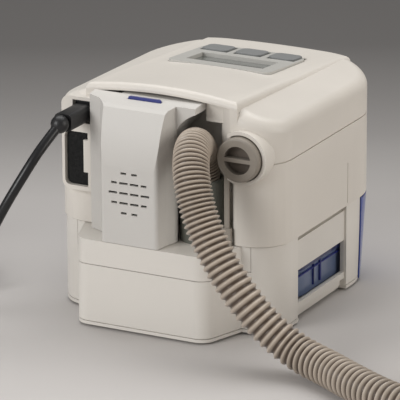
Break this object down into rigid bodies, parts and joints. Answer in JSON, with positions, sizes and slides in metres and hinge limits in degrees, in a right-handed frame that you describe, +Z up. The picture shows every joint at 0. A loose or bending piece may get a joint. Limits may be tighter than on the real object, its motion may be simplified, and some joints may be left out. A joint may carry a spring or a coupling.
{
  "type": "bedside positive airway pressure ventilator",
  "caption": "Bedside breathing machine with slide-in heated water chamber, rear data module, corrugated hose and mains lead.",
  "frame": {"origin": "middle of the underside of the machine's own box, on the surface its feet stand on", "axes": "+Z up; -Y is the user's side with the water chamber's front; +Y is the rear with the hose port and mains inlet; +X is the mains inlet side"},
  "size_m": [0.6815, 0.2935, 0.1597],
  "materials": {
    "ivory_plastic": "fine satin moulded plastic, warm ivory",
    "bezel_plastic": "satin overlay, pale grey",
    "key_rubber": "dark grey translucent keypad rubber",
    "display_glass": "smoked clear window",
    "circuit_board": "green solder mask",
    "dark_plastic": "black moulded plastic",
    "motor_steel": "plain steel",
    "heater_metal": "machined plate",
    "soft_rubber": "soft moulded rubber",
    "grey_cap_plastic": "warm grey satin plastic",
    "port_plastic": "grey green satin plastic",
    "filter_foam": "open cell black foam",
    "chamber_blue": "clear blue moulding",
    "navy_plastic": "deep blue gloss",
    "hose_vinyl": "taupe corrugated hose, soft sheen"
  },
  "bodies": {
    "root": {"lower_housing": "ivory_plastic", "upper_housing": "ivory_plastic", "humidifier_cradle": "ivory_plastic", "rear_band_cover": "ivory_plastic", "base_plate": "ivory_plastic", "link_module_front": "ivory_plastic", "link_module_back": "ivory_plastic", "filter_frame": "ivory_plastic", "outlet_collar": "ivory_plastic", "control_bezel": "bezel_plastic", "key_domes": "key_rubber", "display_window": "display_glass", "main_circuit_board": "circuit_board", "power_supply_board": "circuit_board", "humidifier_board": "circuit_board", "module_board": "circuit_board", "display_module": "circuit_board", "blower_volute_lower": "dark_plastic", "blower_volute_upper": "dark_plastic", "blower_outlet_duct": "dark_plastic", "mains_inlet": "dark_plastic", "module_sounder": "dark_plastic", "appliance_plug": "dark_plastic", "plug_boot": "dark_plastic", "wall_plug": "dark_plastic", "mains_cord": "dark_plastic", "mains_cord_coil": "dark_plastic", "cord_tie": "dark_plastic", "blower_motor": "motor_steel", "base_screws": "motor_steel", "heater_plate": "heater_metal", "heater_element": "heater_metal", "blower_mounts": "soft_rubber", "base_feet": "soft_rubber", "port_seal": "soft_rubber", "chamber_port_seals": "soft_rubber", "cap_strap": "grey_cap_plastic", "hose_cuff": "grey_cap_plastic", "hose_end_cuff": "grey_cap_plastic", "outlet_port_tube": "port_plastic", "air_outlet_nozzle": "port_plastic", "transfer_duct": "port_plastic", "air_inlet_duct": "port_plastic", "air_filter": "filter_foam", "muffler_foam": "filter_foam", "breathing_hose": "hose_vinyl", "hose_coil": "hose_vinyl"},
    "key_left_body": {"key_left": "key_rubber"},
    "key_middle_body": {"key_middle": "key_rubber"},
    "key_right_body": {"key_right": "key_rubber"},
    "card": {"data_card": "navy_plastic"},
    "chamber": {"chamber_tub": "chamber_blue", "chamber_lid": "chamber_blue", "chamber_lid_seal": "soft_rubber", "chamber_steel_base": "motor_steel", "chamber_front_plate": "chamber_blue", "latch_spring": "motor_steel"},
    "latch": {"chamber_latch": "navy_plastic"},
    "cap": {"outlet_cap": "grey_cap_plastic"},
    "impeller": {"blower_impeller": "dark_plastic"}
  },
  "joints": [
    {"name": "key_left_press", "type": "slide", "parent": "root", "child": "key_left_body", "axis": [0, 0.0854, -0.9963], "range_m": [0, 0.0008], "stiffness_N_per_m": 600},
    {"name": "key_middle_press", "type": "slide", "parent": "root", "child": "key_middle_body", "axis": [0, 0.0854, -0.9963], "range_m": [0, 0.0008], "stiffness_N_per_m": 600},
    {"name": "key_right_press", "type": "slide", "parent": "root", "child": "key_right_body", "axis": [0, 0.0854, -0.9963], "range_m": [0, 0.0008], "stiffness_N_per_m": 600},
    {"name": "card_slide", "type": "slide", "parent": "root", "child": "card", "axis": [0, 0, 1], "range_m": [0, 0.036]},
    {"name": "chamber_slide", "type": "slide", "parent": "root", "child": "chamber", "axis": [0, -1, 0], "range_m": [0, 0.14]},
    {"name": "latch_press", "type": "slide", "parent": "chamber", "child": "latch", "axis": [0, 0, -1], "range_m": [0, 0.003], "stiffness_N_per_m": 500, "deforming": ["latch_spring"]},
    {"name": "cap_twist", "type": "hinge", "parent": "root", "child": "cap", "pos_m": [-0.0595, 0.073, 0.121], "axis": [0, 1, 0], "range_deg": [0, 90]},
    {"name": "impeller_spin", "type": "hinge", "parent": "root", "child": "impeller", "pos_m": [-0.022, -0.034, 0.08], "axis": [0, 0, 1], "continuous": true}
  ]
}
